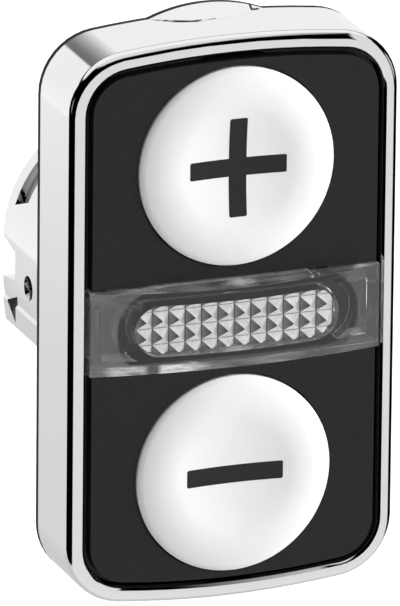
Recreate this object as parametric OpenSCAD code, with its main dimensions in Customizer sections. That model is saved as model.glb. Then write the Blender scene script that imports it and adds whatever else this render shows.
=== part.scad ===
// Double push button head with a central pilot lens, for a 22.5 mm panel hole.
// +Z is up along the bezel, the front faces -Y and +X is to the right.
// The origin is on the barrel's axis, at the panel's front face.

/* [Bezel] */
// Width of the bezel
bezel_w = 30; // [29.5:0.5:38]
// Height of the bezel at its middle
bezel_h = 50.7; // [50:0.5:64]
// Corner radius of the bezel
bezel_corner_r = 5.4; // [3:0.1:7]
// Radius of the bowed top and bottom edges
end_arc_r = 87; // [70:1:400]
// Width of the rim around the opening
rim_w = 1.5; // [1.2:0.1:2.5]
// Radius of the bezel's front outer edge
edge_r = 1.05; // [0.4:0.05:1.1]
// Chamfer along the rim's inner edge
rim_chamfer = 0.25; // [0.1:0.05:0.4]
// Thickness of the wall behind the bezel's tray
rear_wall = 0.9; // [0.8:0.1:2]
// Height of the bumps at the middle of the top and bottom edges
bump_h = 0.85; // [0.4:0.05:1.2]
// Radius of the bumps
bump_r = 14; // [10:0.5:14]
// How far the bumps run forward from the bezel's back
bump_d = 2; // [1:0.1:4]
// Thickness of the rubber gasket
gasket_t = 0.6; // [0.4:0.1:1.5]

/* [Barrel] */
// Outside diameter of the barrel
barrel_d = 21.9; // [21.4:0.1:27]
// Diameter of the land that centres the barrel in the panel hole
land_d = 22.3; // [22.1:0.1:27.6]
// Length of that land behind the panel's front face
land_l = 8; // [4:0.5:10]
// Bore of the barrel
bore_d = 18.8; // [18.4:0.1:19.6]
// Length of the barrel behind the panel's front face
barrel_l = 19.9; // [19:0.1:26]
// Radius at the corners of the two bayonet blocks
lug_r = 13.2; // [12.4:0.05:13.3]
// Distance of the blocks' flat undersides from the barrel's axis
lug_low = 7.65; // [6.6:0.05:7.8]
// Start of the blocks behind the panel's front face
lug_y = 11.2; // [11:0.1:13]
// Diameter of the holes that the rear guide clips into
clip_hole_d = 2.2; // [1.6:0.1:2.6]
// Distance of those holes behind the panel's front face
clip_hole_y = 13.4; // [13:0.1:14]

/* [Buttons] */
// Diameter of the round caps
cap_d = 17.7; // [14:0.1:18]
// Depth of the caps' edge behind the rim
cap_t = 1.2; // [1:0.1:2]
// How far the caps' edge stands proud of the rim
cap_proud = 0.3; // [0:0.05:0.6]
// Radius of the crowned shoulder in section
shoulder_r = 8; // [6:0.5:16]
// Radius of the dish in the middle of the caps
dish_r = 36; // [24:1:80]
// Diameter at which the shoulder meets the dish
dish_d = 10; // [4:0.1:11]
// Full travel of each button
travel = 4.3; // [3:0.1:6]
// Thickness of the rubber washer behind each cap
cap_seal_t = 0.3; // [0.2:0.05:0.5]
// Thickness of the pusher plates
pusher_t = 0.7; // [0.6:0.05:1.5]
// Diameter of the pegs that hold each cap on its pusher
peg_d = 1.6; // [1:0.1:2]
// Radius of the circle on which those pegs stand
peg_circle_r = 5.6; // [4:0.1:6]
// Width of the legs that reach through the barrel
leg_w = 3.6; // [3:0.1:3.8]
// Thickness of the legs
leg_t = 1.8; // [1.4:0.1:2]
// Sideways distance of each leg from the barrel's axis
leg_x = 3.6; // [3:0.1:3.8]
// Distance of the legs' tips behind the panel's front face
leg_end = 17.4; // [17:0.1:22]

/* [Return springs] */
// Outside diameter of the return springs
spring_d = 3.4; // [3:0.1:3.6]
// Wire of the springs
spring_wire = 0.45; // [0.3:0.05:0.5]
// Turns of the springs
spring_turns = 8; // [6:1:10]
// Sideways distance of each spring from the barrel's axis
spring_x = 3.7; // [3.4:0.1:3.8]
// Distance of the springs' seats behind the panel's front face
spring_seat_y = 5.4; // [5:0.1:6.5]

/* [Face plates and inner frame] */
// Thickness of the face plates
plate_t = 1.2; // [1:0.1:2]
// Gap between the face plates and the rim
plate_gap = 0.5; // [0.3:0.05:0.8]
// Wall of the collars that guide the caps
collar_wall = 0.8; // [0.6:0.1:1]
// Diameter of the pegs that locate the face plates
plate_peg_d = 1.5; // [1:0.1:1.8]
// Thickness of the inner frame's web at its screws
screw_web = 2; // [1.5:0.1:2.4]
// Diameter of the frame screws
screw_d = 1.9; // [1.6:0.1:2]
// Diameter of their heads
screw_head_d = 3.4; // [3:0.1:3.5]
// Height of their heads
screw_head_h = 1.2; // [0.8:0.1:1.3]
// Length of the inner frame's hub behind the panel's front face
hub_l = 7.4; // [7:0.1:9]
// Thickness of the rear guide
rear_guide_t = 4; // [3.6:0.1:4.4]

/* [Pilot lens] */
// Height of the lens
lens_h = 7.5; // [7:0.1:7.8]
// How far the lens stands proud of the rim at its ends
lens_end_proud = 0.2; // [0.1:0.05:2]
// How far the lens stands proud of the rim at its middle
lens_mid_proud = 2; // [1.9:0.05:4]
// Wall of the lens at its sides
lens_wall = 1.2; // [0.8:0.05:1.4]
// Wall of the lens at its front
lens_front = 0.75; // [0.6:0.05:0.8]
// Draft of the lens's upper and lower sides, in degrees
lens_draft = 6; // [0:1:8]
// Length of the diffuser
diffuser_w = 18.3; // [14:0.1:19]
// Height of the diffuser
diffuser_h = 4.3; // [4:0.1:4.4]
// Spacing of the diffuser's prisms
prism_pitch = 1.49; // [1:0.01:2]
// Depth of the grooves between the prisms
prism_depth = 0.7; // [0.3:0.05:0.8]
// How far the prisms stand proud of the rim
prism_proud = 0.3; // [0:0.05:0.3]
// Wall of the oval tube around the diffuser
oval_wall = 0.5; // [0.4:0.05:0.6]
// Diameter of the light guide
guide_d = 4.4; // [3:0.1:4.6]
// Thickness of the lens seal
lens_seal_t = 0.5; // [0.3:0.05:0.8]

/* [Clearances] */
// Gap around each cap in its face plate
cap_gap = 0.15; // [0.1:0.01:0.3]
// Gap between the lens and its neighbours
lens_gap = 0.2; // [0.1:0.01:0.4]
// Gap that a moulded piece has in its seat
seat_gap = 0.15; // [0.1:0.01:0.2]
// Gap around the sliding legs
leg_gap = 0.2; // [0.1:0.01:0.25]
// Gap that is left at the end of the travel
end_gap = 0.3; // [0.2:0.05:0.5]
// Gap between rubber and the piece that slides in it
rubber_gap = 0.05; // [0.02:0.01:0.1]

/* [Hidden] */
$fn = 64;
cut = 1; // overshoot of a cutting tool past the face that it cuts

// small details
weld = 0.1; // how far pieces of one solid run into each other
cap_edge = 0.15; // chamfer of the caps
yoke_gap = 0.35; // from the face plates' edge by the lens to the pusher's arm
plate_peg_l = 2.2;
peg_inset = [2.5, 3.8]; // of the plates' pegs, from the sides and the ends of the opening
screw_inset = 2.65; // of the frame screws, from the sides of the opening
screw_rise = 2.7; // of the frame screws, above the face plates' lower edge
cross_l = 2.2; // cross recess of the screws
cross_w = 0.5;
cross_depth = 0.7;
leg_tip = 0.6; // length of the legs' narrower tips
arm_gap = 0.1;
slot_gap = 0.4; // around the pusher's arm
guide_flange = [1.35, 0.6]; // length and height of the light guide's flange
seal_inset = [0.7, 0.35, 1]; // of the lens seal: from the tongues, from the lens's sides, and its width
lug_hollow = [4.3, 5.35, 0.18]; // of the blocks' sides: top, bottom and depth
lug_ridge = 5.6; // below the hollow
lug_draft = 0.25; // of the blocks' sides, under the ridge
wall_through = 4; // depth of a cut that goes through the barrel's wall
pocket_depth = 0.8; // of the pocket above each block
recess_depth = 0.6; // of the triangular recess in each block
cap_rise = 0.2; // outwards from the middle of the face plates
lens_side_gap = 0.25; // gap between the lens and the bezel's sides
screw_boss_h = 1.8;
screw_boss_d = screw_d + 1.7;
screw_hole_end = 0.3; // depth of the screw holes past the tray's floor
leg_seal_wall = 0.6;
leg_seal_t = 1;
spring_post_h = 0.6;
spring_end_gap = 0.02;
prism_flat = 0.06; // left on each prism's top
oval_moat = 0.8; // more room around the oval tube at its ends
tongue_t = 0.8;
tongue_half = 1.6;
tongue_l = 3;
clip_angle = 14.5; // below the horizontal
clip_proud = 1;
guide_floor = 1; // of the rear guide's moulding pockets
guide_pocket_d = 4.4;

// depth stations along Y, from the rim to the panel
bezel_d = rear_wall + end_gap + travel + pusher_t + cap_seal_t + cap_t;
y_back = -gasket_t;
y_floor = y_back - rear_wall;
y_rim = y_back - bezel_d;
y_plate = y_rim + plate_t;
y_cap = y_rim + cap_t;
y_pusher = y_cap + cap_seal_t;
y_yoke = y_pusher + pusher_t;
y_bar = y_yoke + lens_seal_t;
y_prisms = y_rim - prism_proud;
y_boss = y_floor - screw_boss_h;
y_web = y_boss - screw_web; // seat of the screws' heads
y_head = y_web - screw_head_h;

// cuts in the barrel's side, as distances from its rear end and heights above its axis
notch = from_rear([[-cut, 0.35], [3.05, -0.65], [3.05, -3.1], [-cut, -3.75]]);
pocket = from_rear([[1.6, 3.3], [4.1, 4.2], [4.1, 9], [1.6, 9]]);
recess = from_rear([[1.05, -5.5], [3.6, -4.5], [2.75, -7.2]]);
function from_rear(points) = [for (p = points) [barrel_l - p.x, p.y]];

// opening of the bezel, and what fills it
open_w = bezel_w - 2 * rim_w;
open_h = bezel_h - 2 * rim_w;
plate_edge_z = lens_h / 2 + lens_gap;
cap_z = (plate_edge_z + open_h / 2 - plate_gap) / 2 + cap_rise;
collar_r = cap_d / 2 + cap_gap;
collar_outer_r = collar_r + collar_wall;
lens_w = open_w - 2 * lens_side_gap;
peg_x = open_w / 2 - peg_inset.x;
peg_z = open_h / 2 - peg_inset.y;
screw_x = open_w / 2 - screw_inset;
screw_z = plate_edge_z + screw_rise;

// legs, yokes and springs
bore_r = bore_d / 2;
insert_r = bore_r - seat_gap;
yoke_half = max(leg_x + leg_w / 2, spring_x + spring_d / 2) + arm_gap;
yoke_low = plate_edge_z + yoke_gap;
leg_z = yoke_low + leg_t / 2;
slot_half = yoke_half + slot_gap;
bar_half = plate_edge_z - weld;
spring_post_r = spring_d / 2 - spring_wire - seat_gap;

// An extrusion of a shape drawn in X and Z, from y0 to y1
module along_y(y0, y1) {
    translate([0, y1, 0]) rotate([90, 0, 0]) linear_extrude(y1 - y0) children();
}

// A round bar along Y, from y0 to y1
module rod(y0, y1, r) {
    along_y(y0, y1) circle(r);
}

module half_turn() {
    rotate([0, 180, 0]) children();
}

module both_ends() {
    children();
    half_turn() children();
}

// Upper half of an outline with bowed ends: one corner, the end arc, the other corner
function bowed_half(w, h, r, bow) = let (
    x = w / 2 - r,
    lean = asin(x / (bow - r)),
    z = h / 2 - bow + (bow - r) * cos(lean),
    steps = 10
) concat(
    [for (i = [0:steps]) let (a = i / steps * (90 - lean)) [x + r * cos(a), z + r * sin(a)]],
    [for (i = [1:steps - 1]) let (a = 90 - lean + 2 * lean * i / steps)
        bow * [cos(a), sin(a)] + [0, h / 2 - bow]],
    [for (i = [0:steps]) let (a = 90 + lean + i / steps * (90 - lean)) [r * cos(a) - x, z + r * sin(a)]]
);

// The bezel's outline, drawn in from its edge by the given distance
module bowed(inset) {
    half = bowed_half(bezel_w - 2 * inset, bezel_h - 2 * inset, bezel_corner_r - inset, end_arc_r - inset);
    polygon(concat(half, [for (p = half) -p]));
}

module stadium(w, h) {
    square([w - h, h], center = true);
    for (side = [-1, 1]) translate([side * (w - h) / 2, 0]) circle(h / 2);
}

module round_rect(w, h, r) {
    square([w - 2 * r, h], center = true);
    square([w, h - 2 * r], center = true);
    for (x = [-1, 1], z = [-1, 1]) translate([x * (w / 2 - r), z * (h / 2 - r)]) circle(r);
}

// Places a shape on the four frame screws
module at_screws() {
    for (x = [-1, 1], z = [-1, 1]) translate([x * screw_x, 0, z * screw_z]) children();
}

// Places a shape on one face plate's four pegs
module at_plate_pegs() {
    for (x = [-1, 1]) translate([x * peg_x, 0, peg_z]) children();
}

// Places a shape on one cap's three pegs
module at_cap_pegs() {
    for (a = [90, 210, 330]) translate([peg_circle_r * cos(a), 0, cap_z + peg_circle_r * sin(a)]) children();
}

// Outer form of the bezel: a block with a rounded front edge
module bezel_block() {
    hull() {
        along_y(y_rim + edge_r, y_back) bowed(0);
        for (a = [10:10:90]) along_y(y_rim + edge_r * (1 - sin(a)), y_rim + edge_r)
            bowed(edge_r * (1 - cos(a)));
    }
    both_ends() translate([0, y_back - bump_d, bezel_h / 2 + bump_h - bump_r])
        rotate([-90, 0, 0]) cylinder(h = bump_d, r1 = bump_r - bump_h, r2 = bump_r);
}

// One of the two bayonet blocks, which carries the barrel's side straight down to a flat underside
module bayonet_block() {
    side = -barrel_d / 2;
    intersection() {
        rod(lug_y, barrel_l, lug_r);
        along_y(lug_y, barrel_l) polygon([
            [0, 0], [side, 0], [side, -lug_hollow[0]], [side + lug_hollow[2], -lug_hollow[1]],
            [side, -lug_ridge], [side + lug_draft, -lug_low], [-bore_d / 4, -lug_low]
        ]);
    }
}

// A cut into the barrel's left wall, to the given depth, drawn in Y and Z
module wall_cut(depth, points) {
    translate([-barrel_d, 0, 0]) rotate([90, 0, 90]) linear_extrude(barrel_d / 2 + depth) polygon(points);
}

module bezel_housing() color("gainsboro") {
    difference() {
        union() {
            difference() {
                bezel_block();
                along_y(y_rim - cut, y_floor) bowed(rim_w);
            }
            rod(y_floor, barrel_l, barrel_d / 2);
            rod(0, land_l, land_d / 2);
            both_ends() bayonet_block();
            at_screws() rod(y_boss, y_floor + rear_wall / 2, screw_boss_d / 2);
        }
        hull() {
            along_y(y_rim, y_rim + rim_chamfer) bowed(rim_w);
            along_y(y_rim - cut, y_rim) bowed(rim_w - rim_chamfer);
        }
        rod(y_floor - cut, barrel_l + cut, bore_r);
        at_screws() rod(y_boss - cut, y_floor + screw_hole_end, screw_d / 2 + rubber_gap);
        both_ends() {
            wall_cut(wall_through, notch);
            difference() {
                wall_cut(wall_through, pocket);
                rod(lug_y, barrel_l + cut, barrel_d / 2 - pocket_depth);
            }
            wall_cut(recess_depth, recess);
            rotate([0, -clip_angle, 0]) translate([-bore_r - cut, clip_hole_y, 0])
                rotate([0, 90, 0]) cylinder(h = 2 * (barrel_d - bore_d), d = clip_hole_d, center = true);
        }
    }
}

module panel_gasket() color("#1c1c1c") {
    difference() {
        along_y(y_back, 0) union() {
            bowed(0);
            for (side = [-1, 1]) translate([0, side * (bezel_h / 2 + bump_h - bump_r)]) circle(bump_r);
        }
        rod(y_back - cut, cut, max(land_d, barrel_d) / 2 + rubber_gap);
    }
}

// Space that the two pushers need in front of the hub
module pusher_space() {
    both_ends() {
        translate([0, 0, cap_z]) rod(y_plate - cut, y_floor + cut, collar_outer_r + seat_gap);
        along_y(y_plate - cut, y_floor + cut) translate([-slot_half, bar_half])
            square([2 * slot_half, cap_z - bar_half]);
        translate([spring_x, 0, leg_z]) rod(y_bar - cut, y_floor + cut, spring_d / 2 + seat_gap);
    }
}

module inner_frame() color("#262626") {
    difference() {
        union() {
            difference() {
                along_y(y_plate, y_floor) bowed(rim_w + seat_gap);
                pusher_space();
            }
            rod(y_floor, hub_l, insert_r);
        }
        // seat of the lens and its seal
        along_y(y_plate - cut, y_bar) square([open_w, 2 * plate_edge_z], center = true);
        for (side = [-1, 1]) translate([side * (lens_w / 2 - tongue_t / 2), 0, 0])
            along_y(y_bar - cut, y_yoke + tongue_l + seat_gap)
                square([tongue_t + 2 * seat_gap, 2 * (tongue_half + seat_gap)], center = true);
        rod(y_bar - cut, hub_l + cut, guide_d / 2 + seat_gap);
        both_ends() {
            at_plate_pegs()
                rod(y_plate - cut, y_plate + plate_peg_l + seat_gap, plate_peg_d / 2 + rubber_gap);
            translate([-leg_x, 0, leg_z]) {
                along_y(y_floor - cut, hub_l + cut)
                    square([leg_w + 2 * leg_gap, leg_t + 2 * leg_gap], center = true);
                along_y(y_floor - cut, y_floor + leg_seal_t) leg_seal_outline(0);
            }
            translate([spring_x, 0, leg_z]) rod(y_floor - cut, spring_seat_y, spring_d / 2 + seat_gap);
        }
        at_screws() {
            rod(y_plate - cut, y_web, screw_head_d / 2 + seat_gap);
            rod(y_web - cut, y_floor, screw_d / 2 + seat_gap);
            rod(y_boss, y_floor + cut, screw_boss_d / 2 + seat_gap);
        }
    }
}

module rear_guide() color("#d8d8d4") {
    y0 = clip_hole_y - rear_guide_t / 2;
    y1 = clip_hole_y + rear_guide_t / 2;
    difference() {
        rod(y0, y1, insert_r);
        rod(y0 - cut, y1 + cut, guide_d / 2 + seat_gap);
        both_ends() translate([-leg_x, 0, leg_z]) along_y(y0 - cut, y1 + cut)
            square([leg_w + 2 * leg_gap, leg_t + 2 * leg_gap], center = true);
        // moulding pockets in the rear face
        both_ends() translate([spring_x, 0, leg_z]) rod(y0 + guide_floor, y1 + cut, guide_pocket_d / 2);
    }
    // nubs that clip into the barrel
    both_ends() rotate([0, -clip_angle, 0]) translate([-insert_r - clip_proud, clip_hole_y, 0])
        rotate([0, 90, 0]) cylinder(h = 2 * clip_proud, d = clip_hole_d - 2 * rubber_gap);
}

module frame_screws() color("silver") {
    at_screws() difference() {
        union() {
            rod(y_head, y_web, screw_head_d / 2);
            rod(y_web - weld, y_floor + screw_hole_end - seat_gap, screw_d / 2);
        }
        for (turn = [0, 90]) rotate([0, turn, 0])
            along_y(y_head - cut, y_head + cross_depth) square([cross_l, cross_w], center = true);
    }
}

// The collar that guides a cap, open towards the barrel for the pusher's arm
module cap_collar() {
    difference() {
        intersection() {
            translate([0, 0, cap_z]) rod(y_plate - plate_t / 2, y_floor - end_gap, collar_outer_r);
            along_y(y_rim, y_floor) bowed(rim_w + plate_gap);
        }
        along_y(y_plate, y_floor + cut) translate([-slot_half, 0]) square([2 * slot_half, cap_z]);
    }
}

module upper_face_plate() color("#303030") {
    difference() {
        union() {
            intersection() {
                along_y(y_rim, y_plate) bowed(rim_w + plate_gap);
                along_y(y_rim, y_plate) translate([-bezel_w / 2, plate_edge_z]) square([bezel_w, bezel_h]);
            }
            difference() {
                cap_collar();
                along_y(y_rim, y_plate) translate([-bezel_w / 2, 0]) square([bezel_w, plate_edge_z]);
            }
        }
        translate([0, 0, cap_z]) rod(y_rim - cut, y_floor + cut, collar_r);
    }
    at_plate_pegs() rod(y_plate - plate_t / 2, y_plate + plate_peg_l, plate_peg_d / 2);
}

module lower_face_plate() half_turn() upper_face_plate();

module lens_cover() color("#9a9a9a", 0.5) {
    rise = lens_mid_proud - lens_end_proud;
    crown_r = (lens_w * lens_w / 4 + rise * rise) / (2 * rise);
    y_crown = y_rim - lens_mid_proud + crown_r;
    y_end = y_rim - lens_end_proud;
    inner_w = lens_w - 2 * lens_wall;
    oval_w = diffuser_w + 2 * seat_gap;
    oval_h = diffuser_h + 2 * seat_gap;
    drafted_half = lens_h / 2 - rise * tan(lens_draft);
    difference() {
        intersection() {
            crowned(lens_w, lens_h, crown_r, y_crown);
            translate([-lens_w, 0, 0]) rotate([90, 0, 90]) linear_extrude(2 * lens_w) polygon([
                [y_yoke, lens_h / 2], [y_end, lens_h / 2], [y_end - rise, drafted_half],
                [y_end - rise, -drafted_half], [y_end, -lens_h / 2], [y_yoke, -lens_h / 2]
            ]);
        }
        difference() {
            crowned(inner_w, lens_h - 2 * lens_wall, crown_r - lens_front, y_crown, cut);
            along_y(y_rim - lens_mid_proud, y_yoke + 2 * cut)
                stadium(oval_w + 2 * (oval_wall + oval_moat), oval_h + 2 * oval_wall);
        }
        intersection() {
            crowned(inner_w, lens_h, crown_r - lens_front, y_crown, cut);
            along_y(y_rim - lens_mid_proud, y_yoke + 2 * cut) stadium(oval_w, oval_h);
        }
    }
    // tongues that clip into the inner frame
    for (side = [-1, 1]) translate([side * (lens_w / 2 - tongue_t / 2), 0, 0])
        along_y(y_yoke - weld, y_yoke + tongue_l) square([tongue_t, 2 * tongue_half], center = true);
}

// A bar with a front face crowned along X
module crowned(w, h, crown_r, y_crown, extra = 0) {
    intersection() {
        along_y(y_rim - 2 * lens_mid_proud, y_yoke + extra) square([w, h], center = true);
        translate([0, y_crown, 0]) cylinder(h = h + 2, r = crown_r, center = true, $fn = 180);
    }
}

// A stadium plate on the inner frame, whose front is grooved both ways into square prisms
module lens_diffuser() color("white") {
    half_v = (prism_pitch - prism_flat) / 2;
    groove = [[-half_v, 0], [half_v, 0], [0, prism_depth]];
    columns = ceil(diffuser_w / 2 / prism_pitch);
    rows = ceil(diffuser_h / 2 / prism_pitch);
    difference() {
        along_y(y_prisms, y_bar) stadium(diffuser_w, diffuser_h);
        for (i = [-columns:columns]) translate([i * prism_pitch, y_prisms, 0])
            linear_extrude(diffuser_h + cut, center = true) polygon(groove);
        for (i = [-rows:rows]) translate([0, y_prisms, i * prism_pitch])
            rotate([0, 90, 0]) linear_extrude(diffuser_w + cut, center = true) polygon(groove);
    }
}

module lens_seal() color("#1c1c1c") {
    w = lens_w - 2 * (tongue_t + seal_inset[0]);
    h = lens_h - 2 * seal_inset[1];
    difference() {
        along_y(y_yoke, y_bar) stadium(w, h);
        along_y(y_yoke - cut, y_bar + cut) stadium(w - 2 * seal_inset[2], h - 2 * seal_inset[2]);
    }
}

module light_guide() color("white", 0.6) {
    rod(y_bar + seat_gap, clip_hole_y + rear_guide_t / 2, guide_d / 2);
    rod(hub_l + seat_gap, hub_l + seat_gap + guide_flange[0], guide_d / 2 + guide_flange[1]);
}

// Half section of a cap: its edge, a crowned shoulder, and the dish in the middle
function cap_section() = let (
    cap_r = cap_d / 2,
    front = cap_t + cap_proud,
    meet = asin(dish_d / 2 / dish_r),
    ring = dish_d / 2 + shoulder_r * sin(meet),
    end = asin((cap_r - cap_edge - ring) / shoulder_r),
    low = front - shoulder_r * cos(end),
    steps = 9
) concat(
    [[0, 0], [cap_r, 0], [cap_r, front - cap_edge]],
    [for (i = [0:steps]) let (a = end - i / steps * (end + meet))
        [ring, low] + shoulder_r * [sin(a), cos(a)]],
    [for (i = [1:steps]) let (a = meet * (1 - i / steps))
        [dish_r * sin(a), low + (shoulder_r + dish_r) * cos(meet) - dish_r * cos(a)]]
);

module upper_cap() color("whitesmoke") {
    translate([0, y_cap, cap_z]) rotate([90, 0, 0]) rotate_extrude($fn = 96) polygon(cap_section());
    at_cap_pegs() rod(y_cap - weld, y_yoke, peg_d / 2);
}

module lower_cap() half_turn() upper_cap();

module upper_cap_seal() color("#1c1c1c") {
    difference() {
        translate([0, 0, cap_z]) rod(y_cap, y_pusher, collar_r - rubber_gap);
        at_cap_pegs() rod(y_cap - cut, y_pusher + cut, peg_d / 2 + rubber_gap);
    }
}

module lower_cap_seal() half_turn() upper_cap_seal();

// A plate behind the cap, an arm to the barrel, and a leg through it
module upper_pusher() color("#3a3a3a") {
    difference() {
        union() {
            translate([0, 0, cap_z]) rod(y_pusher, y_yoke, collar_r - seat_gap);
            along_y(y_pusher, y_yoke) translate([-yoke_half, yoke_low])
                square([2 * yoke_half, cap_z - yoke_low]);
        }
        at_cap_pegs() rod(y_pusher - cut, y_yoke + cut, peg_d / 2 + rubber_gap);
    }
    translate([-leg_x, 0, leg_z]) {
        along_y(y_pusher, leg_end - leg_tip) square([leg_w, leg_t], center = true);
        along_y(leg_end - leg_tip - weld, leg_end) square([leg_w - leg_tip, leg_t - leg_tip], center = true);
    }
    translate([spring_x, 0, leg_z]) rod(y_yoke - weld, y_yoke + spring_post_h, spring_post_r);
}

module lower_pusher() half_turn() upper_pusher();

// Height of the spring's wire after a number of turns, with closed end turns
function coil_y(turn, length) = lookup(turn, [
    [0, 0], [1, spring_wire], [spring_turns - 1, length - spring_wire], [spring_turns, length]
]);

module upper_spring() color("silver") {
    sides = 6;
    per_turn = 14;
    rings = spring_turns * per_turn;
    wire_r = spring_wire / 2;
    coil_r = spring_d / 2 - wire_r;
    y0 = y_yoke + wire_r + spring_end_gap;
    length = spring_seat_y - spring_end_gap - wire_r - y0;
    points = [
        for (i = [0:rings], j = [0:sides - 1]) let (
            a = 360 * i / per_turn,
            b = 360 * j / sides,
            r = coil_r + wire_r * cos(b)
        ) [r * cos(a), y0 + coil_y(i / per_turn, length) + wire_r * sin(b), r * sin(a)]
    ];
    wall = [
        for (i = [0:rings - 1], j = [0:sides - 1]) let (k = (j + 1) % sides)
            [i * sides + j, i * sides + k, (i + 1) * sides + k, (i + 1) * sides + j]
    ];
    start = [for (j = [sides - 1:-1:0]) j];
    end = [for (j = [0:sides - 1]) rings * sides + j];
    translate([spring_x, 0, leg_z]) polyhedron(points, concat(wall, [start, end]));
}

module lower_spring() half_turn() upper_spring();

// Outline of a leg seal, grown by the given margin
module leg_seal_outline(margin) {
    edge = 2 * (leg_gap + leg_seal_wall + margin);
    round_rect(leg_w + edge, leg_t + edge, 0.9);
}

module upper_leg_seal() color("#1c1c1c") {
    translate([-leg_x, 0, leg_z]) difference() {
        along_y(y_floor, y_floor + leg_seal_t) leg_seal_outline(-rubber_gap);
        along_y(y_floor - cut, y_floor + leg_seal_t + cut)
            square([leg_w + 2 * rubber_gap, leg_t + 2 * rubber_gap], center = true);
    }
}

module lower_leg_seal() half_turn() upper_leg_seal();

bezel_housing();
panel_gasket();
inner_frame();
rear_guide();
frame_screws();
upper_face_plate();
lower_face_plate();
lens_cover();
lens_diffuser();
lens_seal();
light_guide();
upper_cap();
upper_cap_seal();
upper_pusher();
upper_spring();
upper_leg_seal();
lower_cap();
lower_cap_seal();
lower_pusher();
lower_spring();
lower_leg_seal();
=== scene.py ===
import math

import bmesh
import bpy
from mathutils import Matrix, Vector


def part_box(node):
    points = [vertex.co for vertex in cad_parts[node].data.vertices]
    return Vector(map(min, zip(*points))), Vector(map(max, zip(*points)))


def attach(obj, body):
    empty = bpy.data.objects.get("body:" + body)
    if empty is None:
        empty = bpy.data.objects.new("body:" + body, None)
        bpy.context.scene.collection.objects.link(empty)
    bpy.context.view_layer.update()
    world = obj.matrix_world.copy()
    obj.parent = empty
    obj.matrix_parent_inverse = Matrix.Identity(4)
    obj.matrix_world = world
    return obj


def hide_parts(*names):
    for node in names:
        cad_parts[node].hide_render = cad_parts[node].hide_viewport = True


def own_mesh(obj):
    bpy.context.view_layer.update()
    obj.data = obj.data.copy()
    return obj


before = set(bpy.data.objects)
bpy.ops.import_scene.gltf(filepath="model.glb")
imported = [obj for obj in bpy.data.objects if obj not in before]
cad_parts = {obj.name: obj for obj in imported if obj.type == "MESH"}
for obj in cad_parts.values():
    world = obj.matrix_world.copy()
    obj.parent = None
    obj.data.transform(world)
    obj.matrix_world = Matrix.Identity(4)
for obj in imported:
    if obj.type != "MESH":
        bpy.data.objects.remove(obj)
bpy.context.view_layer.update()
mm = 0.001
white = (1, 1, 1, 1)


def toLinear(hexColour):
    # sRGB hex such as "#DFE0E2" to the linear colour that Blender works in
    colour = []
    for i in (1, 3, 5):
        c = int(hexColour[i:i + 2], 16) / 255
        colour.append(c / 12.92 if c <= 0.04045 else ((c + 0.055) / 1.055) ** 2.4)
    return (*colour, 1)


def addNode(tree, kind, *inOrder, stops=(), **byName):
    # adds a node: inputs take values or links, in order or by name, and a node stands for its first output;
    # its own properties go by name, and stops are the places and colours of a ramp
    node = tree.nodes.new("ShaderNode" + kind)
    inputs = list(zip(node.inputs, inOrder))
    for name, value in byName.items():
        if hasattr(node, name):
            setattr(node, name, value)
        else:
            inputs.append((node.inputs[name.replace("_", " ")], value))
    for socket, value in inputs:
        if isinstance(value, bpy.types.Node):
            value = value.outputs[0]
        if isinstance(value, bpy.types.NodeSocket):
            tree.links.new(value, socket)
        else:
            socket.default_value = value
    for i, (position, colour) in enumerate(stops):
        element = node.color_ramp.elements[i] if i < 2 else node.color_ramp.elements.new(position)
        element.position = position
        element.color = colour
    return node


def greys(stops):
    # a ramp's stops from places and linear greys
    return [(position, (grey, grey, grey, 1)) for position, grey in stops]


def newMaterial(name, **settings):
    material = bpy.data.materials.new(name)
    material.use_nodes = True
    tree = material.node_tree
    tree.nodes.clear()
    shader = addNode(tree, "BsdfPrincipled", **settings)
    addNode(tree, "OutputMaterial", shader)
    coords = addNode(tree, "TexCoord").outputs["Object"]
    return material, tree, shader, coords


def grain(tree, coords, sizeInMm, detail=2, roughness=0.5, stretch=None):
    # noise whose lumps are about the given size
    if stretch:
        coords = addNode(tree, "Mapping", coords, Scale=stretch)
    return addNode(tree, "TexNoise", coords, Scale=1 / (sizeInMm * mm), Detail=detail, Roughness=roughness)


def distanceInXz(tree, x, z):
    flat = addNode(tree, "CombineXYZ", x, 0, z)
    return addNode(tree, "VectorMath", flat, operation="LENGTH").outputs["Value"]


def tinted(tree, shader, value, darkHex, lightHex, low=0.3, high=0.7):
    # the base colour wanders between two tones
    tones = addNode(tree, "ValToRGB", value, stops=((low, toLinear(darkHex)), (high, toLinear(lightHex))))
    tree.links.new(tones.outputs[0], shader.inputs["Base Color"])


def roughened(tree, shader, value, low, high):
    # the roughness wanders between two levels
    level = addNode(tree, "MapRange", value, To_Min=low, To_Max=high)
    tree.links.new(level.outputs[0], shader.inputs["Roughness"])


def raised(tree, shader, height, depthInMm, strength):
    bump = addNode(tree, "Bump", Height=height, Distance=depthInMm * mm, Strength=strength)
    tree.links.new(bump.outputs[0], shader.inputs["Normal"])


# Materials

# painted shade: how far the darkening of the chrome's colour in recesses reaches, and where it starts and
# ends
recessShade = {"reach": 3, "closed": 0.35, "open": 0.8}  # mm, then shares of open sky


def chromedZinc():
    # bright chrome on a zinc die casting: mirror-like, with the faint waviness of the casting under it, and
    #     # with painted shade that darkens its colour deep in the recesses
    material, tree, shader, coords = newMaterial("chromedZinc", Metallic=1.0)
    # painted shade: ambient occlusion darkens the base colour in the recesses
    sky = addNode(tree, "AmbientOcclusion", Distance=recessShade["reach"] * mm).outputs["AO"]
    unshadedShare = addNode(tree, "MapRange", sky, recessShade["closed"], recessShade["open"])
    cloud = addNode(tree, "MapRange", grain(tree, coords, 4), To_Min=0.96, To_Max=1)
    waveAndRecessShade = addNode(tree, "Math", unshadedShare, cloud, operation="MULTIPLY")
    tinted(tree, shader, waveAndRecessShade, "#8E8E91", "#F6F6F6", 0, 1)
    roughened(tree, shader, grain(tree, coords, 1.5, 4), 0.02, 0.07)
    raised(tree, shader, grain(tree, coords, 3, 1), 0.003, 0.5)
    return material


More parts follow.
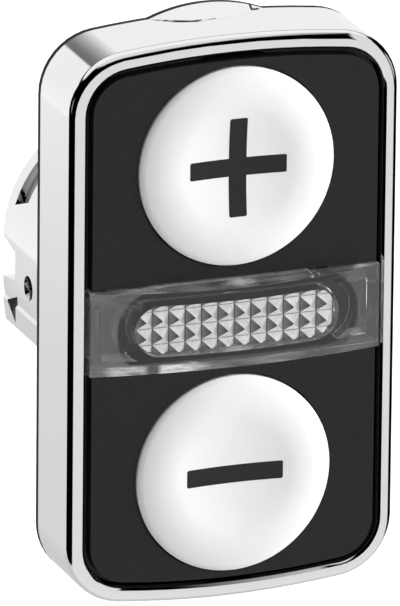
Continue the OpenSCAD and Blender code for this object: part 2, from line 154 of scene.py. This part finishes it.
def plateAbs():
    # black ABS from a spark-eroded mould: an even, fine matt grain
    material, tree, shader, coords = newMaterial("blackAbsEroded", IOR=1.53, Specular_IOR_Level=0.3)
    tinted(tree, shader, grain(tree, coords, 0.25, 3), "#161617", "#1F1F20")
    roughened(tree, shader, grain(tree, coords, 0.5), 0.5, 0.62)
    raised(tree, shader, grain(tree, coords, 0.14, 3, 0.6), 0.03, 0.5)
    return material


def capAbs():
    # white ABS from a polished mould: glossy, with a trace of flow in the surface
    material, tree, shader, coords = newMaterial("whiteAbsPolished", IOR=1.53)
    tinted(tree, shader, grain(tree, coords, 6), "#F1F1F1", "#F5F5F5")
    roughened(tree, shader, grain(tree, coords, 2, 3), 0.2, 0.27)
    raised(tree, shader, grain(tree, coords, 5, 1), 0.004, 0.4)
    return material


def signAbs():
    # second shot of dark grey ABS that forms the signs: satin, a little softer than the cap
    material, tree, shader, coords = newMaterial("greyAbsSecondShot", IOR=1.53, Specular_IOR_Level=0.3)
    tinted(tree, shader, grain(tree, coords, 0.4), "#1C1C1D", "#222223")
    roughened(tree, shader, grain(tree, coords, 1), 0.4, 0.5)
    return material


def sealRubber():
    # moulded nitrile rubber: dull black with a faint bloom
    material, tree, shader, coords = newMaterial("nitrileRubber", IOR=1.52)
    tinted(tree, shader, grain(tree, coords, 1.5, 4), "#1A1A1A", "#242424")
    roughened(tree, shader, grain(tree, coords, 0.6, 3), 0.62, 0.8)
    raised(tree, shader, grain(tree, coords, 0.12, 2), 0.01, 0.5)
    return material


def frameNylon():
    # black glass-filled nylon: dull, slightly streaked by the fibres
    material, tree, shader, coords = newMaterial("glassFilledNylon", IOR=1.53)
    tinted(tree, shader, grain(tree, coords, 0.8, 4, stretch=(1, 1, 0.3)), "#222223", "#2E2E2F")
    roughened(tree, shader, grain(tree, coords, 0.4, 3), 0.45, 0.62)
    raised(tree, shader, grain(tree, coords, 0.2, 3), 0.015, 0.5)
    return material


def mouldedAcetal(name, sizeInMm, darkHex, lightHex):
    # acetal as it leaves the mould: smooth and a little waxy, with a dull sheen
    material, tree, shader, coords = newMaterial(name, IOR=1.48)
    tinted(tree, shader, grain(tree, coords, sizeInMm), darkHex, lightHex)
    roughened(tree, shader, grain(tree, coords, 1), 0.3, 0.4)
    raised(tree, shader, grain(tree, coords, 0.5, 2), 0.004, 0.4)
    return material


def springWire():
    # drawn stainless wire: bright, with the fine unevenness that drawing leaves
    material, tree, shader, coords = newMaterial("stainlessWire", Metallic=1.0)
    tinted(tree, shader, grain(tree, coords, 0.3, 3), "#B4B4B2", "#CCCCCA")
    roughened(tree, shader, grain(tree, coords, 0.1, 2), 0.2, 0.35)
    return material


def screwSteel():
    # zinc-plated steel: satin silver with a cloudy plating
    material, tree, shader, coords = newMaterial("zincPlatedSteel", Metallic=1.0)
    tinted(tree, shader, grain(tree, coords, 0.8, 4), "#B9BBBD", "#D0D2D4")
    roughened(tree, shader, grain(tree, coords, 0.4, 3), 0.25, 0.42)
    return material


def letLightIn(tree, shader):
    # lamps and diffuse light reach what is behind the clear piece without being bent
    rays = addNode(tree, "LightPath").outputs
    soft = addNode(tree, "Math", rays["Is Shadow Ray"], rays["Is Diffuse Ray"], operation="MAXIMUM")
    mix = addNode(tree, "MixShader", soft, shader, addNode(tree, "BsdfTransparent", white))
    tree.links.new(mix.outputs[0], tree.nodes["Material Output"].inputs["Surface"])


frost = {
    # mm: the clear window's half length, radius and soft edge, the height and soft edge of the cloudy strip
    # along the lower edge, and how far the amounts reach to either side
    "windowHalf": 6.9, "windowR": 4.05, "windowSoft": 0.15, "stripZ": -2.75, "stripSoft": 0.2, "reach": 15,
    # amounts by place along X
    "ends": ((-14, 0.13), (14, 0.045)),
    "strip": (
        (-12.6, 0), (-11, 0.75), (-8.8, 0.6), (-8.2, 0.05), (-7.6, 0.05), (-7.1, 0.95), (-4.6, 0.75),
        (-2.6, 0.14), (0, 0.1), (4.2, 0.25), (6, 0.04)
    ),
    "top": (
        (-14.2, 0.6), (-12.8, 0.35), (-12, 0.1), (-8.4, 0.35), (-6, 0.2), (-2, 0.15), (0.2, 0.5), (2, 0.12),
        (4, 0.2), (8, 0.1), (10.6, 0.15), (11.4, 0.9), (13, 0.4), (14.2, 0.6)
    ),
    # how far up the top's normals point, and the streaks from one span of noise to one of shares
    "topNormal": (0.7, 0.9), "streaks": (0.32, 0.6, 0.3, 1.15),
}


def lensPolycarbonate():
    # clear polycarbonate with a smoke tint: glossy, frosted around a clear window, and cloudy at its edges
    material, tree, shader, coords = newMaterial(
        "smokedPolycarbonate", IOR=1.585, Transmission_Weight=1.0, Base_Color=toLinear("#EBECED")
    )
    roughened(tree, shader, grain(tree, coords, 3, 3), 0.0, 0.02)
    raised(tree, shader, grain(tree, coords, 6, 1), 0.004, 0.4)
    place = addNode(tree, "SeparateXYZ", coords).outputs
    geometry = addNode(tree, "NewGeometry").outputs
    along = addNode(tree, "MapRange", place["X"], -frost["reach"] * mm, frost["reach"] * mm)

    def byPlace(zone, share):
        stops = [((x / frost["reach"] + 1) / 2, amount) for x, amount in frost[zone]]
        amounts = addNode(tree, "ValToRGB", along, stops=greys(stops))
        return addNode(tree, "Math", share, amounts, operation="MULTIPLY")

    pastFlat = addNode(tree, "Math", place["X"], operation="ABSOLUTE")
    pastFlat = addNode(tree, "Math", pastFlat, frost["windowHalf"] * mm, operation="SUBTRACT")
    pastFlat = addNode(tree, "Math", pastFlat, 0, operation="MAXIMUM")
    fromWindow = distanceInXz(tree, pastFlat, place["Z"])
    windowEdge = (frost["windowR"] * mm, (frost["windowR"] + frost["windowSoft"]) * mm)
    ends = byPlace("ends", addNode(tree, "MapRange", fromWindow, *windowEdge))
    stripEdge = (frost["stripZ"] * mm, (frost["stripZ"] - frost["stripSoft"]) * mm)
    strip = byPlace("strip", addNode(tree, "MapRange", place["Z"], *stripEdge))
    normal = addNode(tree, "SeparateXYZ", geometry["Normal"]).outputs
    top = byPlace("top", addNode(tree, "MapRange", normal["Z"], *frost["topNormal"]))
    streaks = grain(tree, coords, 0.8, 4, 0.6, stretch=(0.3, 1, 2))
    streaks = addNode(tree, "MapRange", streaks, *frost["streaks"])
    cloudy = addNode(tree, "Math", strip, top, operation="MAXIMUM")
    cloudy = addNode(tree, "Math", cloudy, streaks, operation="MULTIPLY")
    amount = addNode(tree, "Math", cloudy, ends, operation="MAXIMUM")

    # only where light enters from outside, so that the inner walls add nothing
    entering = addNode(tree, "Math", 1, geometry["Backfacing"], operation="SUBTRACT")
    amount = addNode(tree, "Math", amount, entering, operation="MULTIPLY")
    haze = addNode(tree, "BsdfDiffuse", toLinear("#F4F4F5"))
    letLightIn(tree, addNode(tree, "MixShader", amount, shader, haze))
    return material


prisms = {
    "pitch": 1.49, "valley": 0.07,  # mm
    # painted light and shade: tones by how far a face points to the right, from fully left (0) to fully right
    # (1)
    "sides": ((0.2, 0), (0.3, 1), (0.7, 1), (0.8, 0.52)),
    # painted shade on the left faces: their tones across a span of shares of the half pitch
    "leftShadeSpan": (0.15, 0.85), "leftShadeTones": (0.34, 0.09),
    # shares of tone from down to up, painted so that faces pointing down are lighter, over patches, and in
    # the valleys
    "downToUpShade": (1.05, 0.8), "patches": (0.7, 1.25), "valleyShare": 0.25,
}


def prismAcrylic():
    # clear acrylic grooved into square prisms, with light and shade painted by face direction: one dark side,
    # three light ones, thin dark valleys
    material, tree, shader, coords = newMaterial("prismAcrylic", IOR=1.49)
    facing = addNode(tree, "SeparateXYZ", addNode(tree, "TexCoord").outputs["Normal"]).outputs
    place = addNode(tree, "SeparateXYZ", coords).outputs
    half = prisms["pitch"] / 2 * mm
    fromValley = [addNode(tree, "Math", place[axis], half, operation="PINGPONG") for axis in ("X", "Z")]
    # painted light and shade: the base colour follows which way each face points
    sides = addNode(tree, "MapRange", facing["X"], -1, 1)
    sides = addNode(tree, "ValToRGB", sides, stops=greys(prisms["sides"]))
    leftShadeSpan = [share * half for share in prisms["leftShadeSpan"]]
    # painted shade on the left faces, darker away from the valley
    leftFaceShade = addNode(tree, "MapRange", fromValley[0], *leftShadeSpan, *prisms["leftShadeTones"])
    tone = addNode(tree, "Math", sides, leftFaceShade, operation="MAXIMUM")
    shares = [
        # painted light: faces pointing down come out lighter than those pointing up
        addNode(tree, "MapRange", facing["Z"], -1, 1, *prisms["downToUpShade"]),
        addNode(tree, "MapRange", grain(tree, coords, 0.5, 3), 0, 1, *prisms["patches"]),
    ]
    for distance in fromValley:
        shares.append(addNode(tree, "MapRange", distance, 0, prisms["valley"] * mm, prisms["valleyShare"], 1))
    for share in shares:
        tone = addNode(tree, "Math", tone, share, operation="MULTIPLY")
    tree.links.new(tone.outputs[0], shader.inputs["Base Color"])
    roughened(tree, shader, grain(tree, coords, 0.5, 3), 0.08, 0.16)
    return material


def guideAcrylic():
    # clear acrylic rod with a polished surface
    material, tree, shader, coords = newMaterial(
        "clearAcrylic", IOR=1.49, Transmission_Weight=1.0, Base_Color=toLinear("#F2F4F5")
    )
    roughened(tree, shader, grain(tree, coords, 1, 3), 0.03, 0.08)
    return material


rubber = sealRubber()
blackAbs = plateAbs()
whiteAbs = capAbs()
acetal = mouldedAcetal("acetal", 2, "#3C3C3E", "#454547")
wire = springWire()

# what each CAD node is made of; finished copies take it over
madeOf = {
    "bezel_housing": chromedZinc(), "panel_gasket": rubber, "inner_frame": frameNylon(),
    "rear_guide": mouldedAcetal("undyedAcetal", 3, "#D6D6D2", "#DEDEDA"), "frame_screws": screwSteel(),
    "lens_cover": lensPolycarbonate(), "lens_diffuser": prismAcrylic(), "lens_seal": rubber,
    "light_guide": guideAcrylic(), "upper_face_plate": blackAbs, "lower_face_plate": blackAbs,
    "upper_cap": whiteAbs, "lower_cap": whiteAbs, "upper_cap_seal": rubber, "lower_cap_seal": rubber,
    "upper_pusher": acetal, "lower_pusher": acetal, "upper_spring": wire, "lower_spring": wire,
    "upper_leg_seal": rubber, "lower_leg_seal": rubber,
}
for node, material in madeOf.items():
    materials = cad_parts[node].data.materials
    materials.clear()
    materials.append(material)
print("materials ready")


# Finished copies of nodes: corners softened, round walls smooth

finish = {"mergeWithin": 0.002, "flatWithin": 0.6, "segments": 2, "shadeSharpPast": 10}  # mm and degrees


def finishedCopy(node, pieceName, body, softenedBy, sharpFrom=28):
    piece = bpy.data.objects.new(pieceName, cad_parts[node].data.copy())
    bpy.context.scene.collection.objects.link(piece)
    mesh = piece.data
    bm = bmesh.new()
    bm.from_mesh(mesh)
    bmesh.ops.remove_doubles(bm, verts=bm.verts, dist=finish["mergeWithin"] * mm)
    bmesh.ops.dissolve_limit(
        bm, angle_limit=math.radians(finish["flatWithin"]), verts=bm.verts, edges=bm.edges,
        use_dissolve_boundaries=False
    )
    sharp = [e for e in bm.edges if len(e.link_faces) == 2 and e.calc_face_angle() > math.radians(sharpFrom)]
    if softenedBy:
        bmesh.ops.bevel(
            bm, geom=sharp, offset=softenedBy * mm, offset_type="OFFSET", affect="EDGES",
            segments=finish["segments"], profile=0.5, material=-1, clamp_overlap=True
        )
    for face in bm.faces:
        face.smooth = True
    bm.to_mesh(mesh)
    bm.free()
    if "custom_normal" in mesh.attributes:
        mesh.attributes.remove(mesh.attributes["custom_normal"])
    mesh.set_sharp_from_angle(angle=math.radians(sharpFrom + finish["shadeSharpPast"]))
    normals = piece.modifiers.new("evenShading", "WEIGHTED_NORMAL")
    normals.keep_sharp = True
    normals.weight = 100
    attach(piece, body)
    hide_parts(node)
    return piece


finishedCopy("bezel_housing", "bezelCasting", "housing", softenedBy=0.06, sharpFrom=16)
for side in ("upper", "lower"):
    finishedCopy(side + "_face_plate", side + "FacePlate", "housing", softenedBy=0.1)
    finishedCopy(side + "_cap", side + "Cap", side + "_button", softenedBy=0)
finishedCopy("lens_cover", "pilotLens", "housing", softenedBy=0.15)
print("finished pieces ready")


# Return springs: smooth copies, each with a mesh of its own, held in the housing

for side in ("upper", "lower"):
    coil = finishedCopy(
        side + "_spring", side + "Coil", "housing", softenedBy=0, sharpFrom=50
    )
    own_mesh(coil)
print("springs ready")


# Signs, a second shot of plastic that lies a hair proud of each cap's dish

signs = {
    # mm, and the last in degrees
    "length": 8.8, "width": 1.6, "cornerR": 0.16, "proud": 0.015, "depth": 0.15, "cutEvery": 0.4,
    "capZ": 13.85, "edgeProud": 0.3, "edgeR": 8.7, "shoulderR": 8, "dishR": 36, "meetR": 5,
    "slack": 0.01, "shadeSharpFrom": 40,
}
signMaterial = signAbs()


def capFront(r):
    # how far the cap stands proud of the rim at that distance from its middle, as in the CAD section
    meet = math.asin(signs["meetR"] / signs["dishR"])
    ring = signs["meetR"] + signs["shoulderR"] * math.sin(meet)
    low = signs["edgeProud"] - math.sqrt(signs["shoulderR"] ** 2 - (signs["edgeR"] - ring) ** 2)
    if r > signs["meetR"]:
        return low + math.sqrt(signs["shoulderR"] ** 2 - (r - ring) ** 2)
    top = low + (signs["shoulderR"] + signs["dishR"]) * math.cos(meet)
    return top - math.sqrt(signs["dishR"] ** 2 - r ** 2)


def makeSign(pieceName, body, capZ, arms):
    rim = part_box("bezel_housing")[0].y / mm
    half = signs["width"] / 2
    bm = bmesh.new()
    bmesh.ops.create_grid(bm, x_segments=1, y_segments=1, size=half)

    def onSquare(vert, arm):
        # whether it is a corner of the middle square, on that arm's side
        outside = max(map(abs, vert.co.xy)) > half + signs["slack"]
        return abs(vert.co.xy.dot(arm) - half) < signs["slack"] and not outside

    for arm in arms:
        edge = [e for e in bm.edges if all(onSquare(v, arm) for v in e.verts)]
        grown = bmesh.ops.extrude_edge_only(bm, edges=edge)
        ends = [v for v in grown["geom"] if isinstance(v, bmesh.types.BMVert)]
        bmesh.ops.translate(bm, verts=ends, vec=Vector(arm).to_3d() * (signs["length"] / 2 - half))
    far = [v for v in bm.verts if v.co.length > signs["length"] / 2]
    bmesh.ops.bevel(
        bm, geom=far, offset=signs["cornerR"], affect="VERTICES", segments=4, profile=0.5, material=-1
    )

    # cut up finely, so that it can follow the dish
    cuts = int(signs["length"] / signs["cutEvery"] / 2)
    for axis in ((1, 0, 0), (0, 1, 0)):
        for i in range(-cuts, cuts + 1):
            everything = bm.verts[:] + bm.edges[:] + bm.faces[:]
            place = Vector(axis) * i * signs["cutEvery"]
            bmesh.ops.bisect_plane(bm, geom=everything, plane_co=place, plane_no=axis)
    bmesh.ops.triangulate(bm, faces=bm.faces)
    for vert in bm.verts:
        vert.co = (vert.co.x, rim - capFront(vert.co.xy.length) - signs["proud"], capZ + vert.co.y)
    grown = bmesh.ops.extrude_face_region(bm, geom=bm.faces[:])
    back = [v for v in grown["geom"] if isinstance(v, bmesh.types.BMVert)]
    bmesh.ops.translate(bm, verts=back, vec=(0, signs["depth"], 0))
    bmesh.ops.recalc_face_normals(bm, faces=bm.faces)
    bmesh.ops.scale(bm, vec=(mm, mm, mm), verts=bm.verts)
    for face in bm.faces:
        face.smooth = True

    mesh = bpy.data.meshes.new(pieceName)
    bm.to_mesh(mesh)
    bm.free()
    mesh.set_sharp_from_angle(angle=math.radians(signs["shadeSharpFrom"]))
    mesh.materials.append(signMaterial)
    piece = bpy.data.objects.new(pieceName, mesh)
    bpy.context.scene.collection.objects.link(piece)
    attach(piece, body)


makeSign("plusSign", "upper_button", signs["capZ"], ((1, 0), (-1, 0), (0, 1), (0, -1)))
makeSign("minusSign", "lower_button", -signs["capZ"], ((1, 0), (-1, 0)))
print("signs ready")


# Floor, light and camera

ground = {"size": 2.4, "z": -0.0275, "glow": 0.8}  # metres, then what the camera sees it give off


def paleFloor():
    bpy.ops.mesh.primitive_plane_add(size=ground["size"], location=(0, 0, ground["z"]))
    floor = bpy.context.object
    floor.name = "floor"
    material = bpy.data.materials.new("paleFloor")
    material.use_nodes = True
    tree = material.node_tree
    tree.nodes.clear()
    # the camera sees it white where nothing shades it
    toCamera = addNode(tree, "LightPath").outputs["Is Camera Ray"]
    glow = addNode(tree, "Math", toCamera, ground["glow"], operation="MULTIPLY")
    glow = addNode(tree, "Emission", white, glow)
    shade = addNode(tree, "BsdfDiffuse", toLinear("#F4F4F4"))
    addNode(tree, "OutputMaterial", addNode(tree, "AddShader", shade, glow))
    floor.data.materials.append(material)
    floor.visible_glossy = False
    floor.visible_transmission = False


# the light around the scene by direction, where X, Y and Z run from -1 to 1
tent = {
    # linear greys by height, from straight down (0) to straight up (1); behind has a thin dark line high up
    "front": ((0.1, 0.8), (0.4, 0.77)),
    "behind": (
        (0.25, 0.6), (0.333, 0.72), (0.34, 0.74), (0.347, 0.83), (0.355, 0.98), (0.5, 0.93), (0.731, 0.93),
        (0.735, 0.03), (0.775, 0.03), (0.782, 0.96)
    ),
    "frontToBehind": (0, 0.2),
    # the front is black but for a round opening, what lies low, a window on the right and the ceiling
    "openingX": 0.039, "openingZ": -0.293, "openingR": (0.83, 0.8),
    "low": (-0.36, -0.42), "window": (0.5, 0.58), "ceiling": (0.86, 0.92),
    # a card behind, between two heights, whose greys change from left to right
    "cardFoot": (0.405, 0.39), "cardHead": (0.47, 0.49), "cardX": (-0.3, 0.3),
    "cardGreys": ((0.1, 0.13), (0.35, 0.22), (0.6, 0.5), (0.88, 1)),
    # dark gaps at both sides, the right one slanting, and grey cards past them
    "leftGap": (-0.78, -0.745), "rightGap": (0.89, 0.85), "rightSlant": 0.25,
    "sideCards": (0.975, 0.99), "sideGrey": 0.6,
    # what the lens lets through is dark on the left and below
    "lensLeft": (-0.55, -0.2), "lensBelow": (-0.25, 0), "lensDark": 0.05,
    # what lights everything else
    "room": 0.25,
}


def mirroredTent(tree, x, y, z):
    # what polished surfaces mirror, as greys and how much of them shows
    height = addNode(tree, "MapRange", z, -1, 1)
    fromOpening = distanceInXz(
        tree, addNode(tree, "Math", x, tent["openingX"], operation="SUBTRACT"),
        addNode(tree, "Math", z, tent["openingZ"], operation="SUBTRACT")
    )
    front = addNode(tree, "MapRange", z, *tent["low"])
    for value, edge in ((fromOpening, "openingR"), (z, "ceiling"), (x, "window")):
        lit = addNode(tree, "MapRange", value, *tent[edge])
        front = addNode(tree, "Math", front, lit, operation="MAXIMUM")
    frontGreys = addNode(tree, "ValToRGB", height, stops=greys(tent["front"]))
    front = addNode(tree, "Math", frontGreys, front, operation="MULTIPLY")

    fromLeft = addNode(tree, "MapRange", x, *tent["cardX"])
    behind = addNode(tree, "ValToRGB", fromLeft, stops=greys(tent["cardGreys"]))
    for edge in ("cardFoot", "cardHead"):
        pastCard = addNode(tree, "MapRange", z, *tent[edge])
        behind = addNode(tree, "Math", behind, pastCard, operation="MAXIMUM")
    behindGreys = addNode(tree, "ValToRGB", height, stops=greys(tent["behind"]))
    behind = addNode(tree, "Math", behindGreys, behind, operation="MULTIPLY")
    turned = addNode(tree, "MapRange", y, *tent["frontToBehind"])
    around = addNode(tree, "Mix", Factor=turned, A=front, B=behind, data_type="FLOAT")

    slanted = addNode(tree, "Math", y, tent["rightSlant"], operation="MULTIPLY")
    slanted = addNode(tree, "Math", x, slanted, operation="ADD")
    leftGap = addNode(tree, "MapRange", x, *tent["leftGap"])
    rightGap = addNode(tree, "MapRange", slanted, *tent["rightGap"])
    shown = addNode(tree, "Math", leftGap, rightGap, operation="MULTIPLY")
    outward = addNode(tree, "Math", x, operation="ABSOLUTE")
    sideCards = addNode(tree, "MapRange", outward, *tent["sideCards"], 0, tent["sideGrey"])
    shown = addNode(tree, "Math", shown, sideCards, operation="MAXIMUM")
    return around, shown


def studio():
    world = bpy.data.worlds.new("studio")
    bpy.context.scene.world = world
    world.use_nodes = True
    tree = world.node_tree
    tree.nodes.clear()
    rays = addNode(tree, "LightPath").outputs
    x, y, z = addNode(tree, "SeparateXYZ", addNode(tree, "TexCoord").outputs["Generated"]).outputs
    pastLeft = addNode(tree, "MapRange", x, *tent["lensLeft"])
    pastBelow = addNode(tree, "MapRange", z, *tent["lensBelow"])
    through = addNode(tree, "Math", pastLeft, pastBelow, operation="MULTIPLY")
    through = addNode(tree, "Math", through, tent["lensDark"], operation="MAXIMUM")
    shown = addNode(tree, "Background", white, tent["room"])
    for ray, seen in (
        ("Is Glossy Ray", addNode(tree, "Background", *mirroredTent(tree, x, y, z))),
        ("Is Transmission Ray", addNode(tree, "Background", white, through)),
        ("Is Camera Ray", addNode(tree, "Background", white, 1)),
    ):
        shown = addNode(tree, "MixShader", rays[ray], shown, seen)
    addNode(tree, "OutputWorld", shown)
    bpy.context.scene.view_settings.view_transform = "Standard"


# places and widths in metres, powers in watts
softboxes = {
    "rightSoftbox": {"place": (0.63, -0.245, 0.13), "width": 0.45, "power": 8.3},
    "topSoftbox": {"place": (-0.1, -0.25, 0.7), "width": 0.45, "power": 0.7},
}


def placeSoftboxes():
    for name, box in softboxes.items():
        light = bpy.data.lights.new(name, "AREA")
        light.size = box["width"]
        light.energy = box["power"]
        lamp = bpy.data.objects.new(name, light)
        bpy.context.scene.collection.objects.link(lamp)
        lamp.location = box["place"]
        lamp.rotation_euler = (-lamp.location).to_track_quat("-Z", "Y").to_euler()
        lamp.visible_glossy = False


view = {
    # degrees, then mm
    "azimuth": -20.784, "elevation": 18.415, "roll": 0.595,
    "distance": 985, "across": 2.955, "up": -1.435, "aimY": -8.3, "lens": 682.96, "sensor": 36,
    "clip": (50, 20000),
}


def placeCamera():
    az, el, roll = (math.radians(view[k]) for k in ("azimuth", "elevation", "roll"))
    back = Vector((math.sin(az) * math.cos(el), -math.cos(az) * math.cos(el), math.sin(el)))
    level = Vector((math.cos(az), math.sin(az), 0))
    right = level * math.cos(roll) + back.cross(level) * math.sin(roll)
    up = back.cross(right)
    aim = Vector((0, view["aimY"], 0))
    centre = aim + back * view["distance"] - right * view["across"] - up * view["up"]
    data = bpy.data.cameras.new("photoView")
    data.lens = view["lens"]
    data.sensor_width = view["sensor"]
    data.clip_start, data.clip_end = (distance * mm for distance in view["clip"])
    camera = bpy.data.objects.new("photoView", data)
    bpy.context.scene.collection.objects.link(camera)
    turn = Matrix((right, up, back)).transposed().to_4x4()
    turn.translation = centre * mm
    camera.matrix_world = turn
    bpy.context.scene.camera = camera


paleFloor()
studio()
placeSoftboxes()
placeCamera()
print("studio and camera ready")
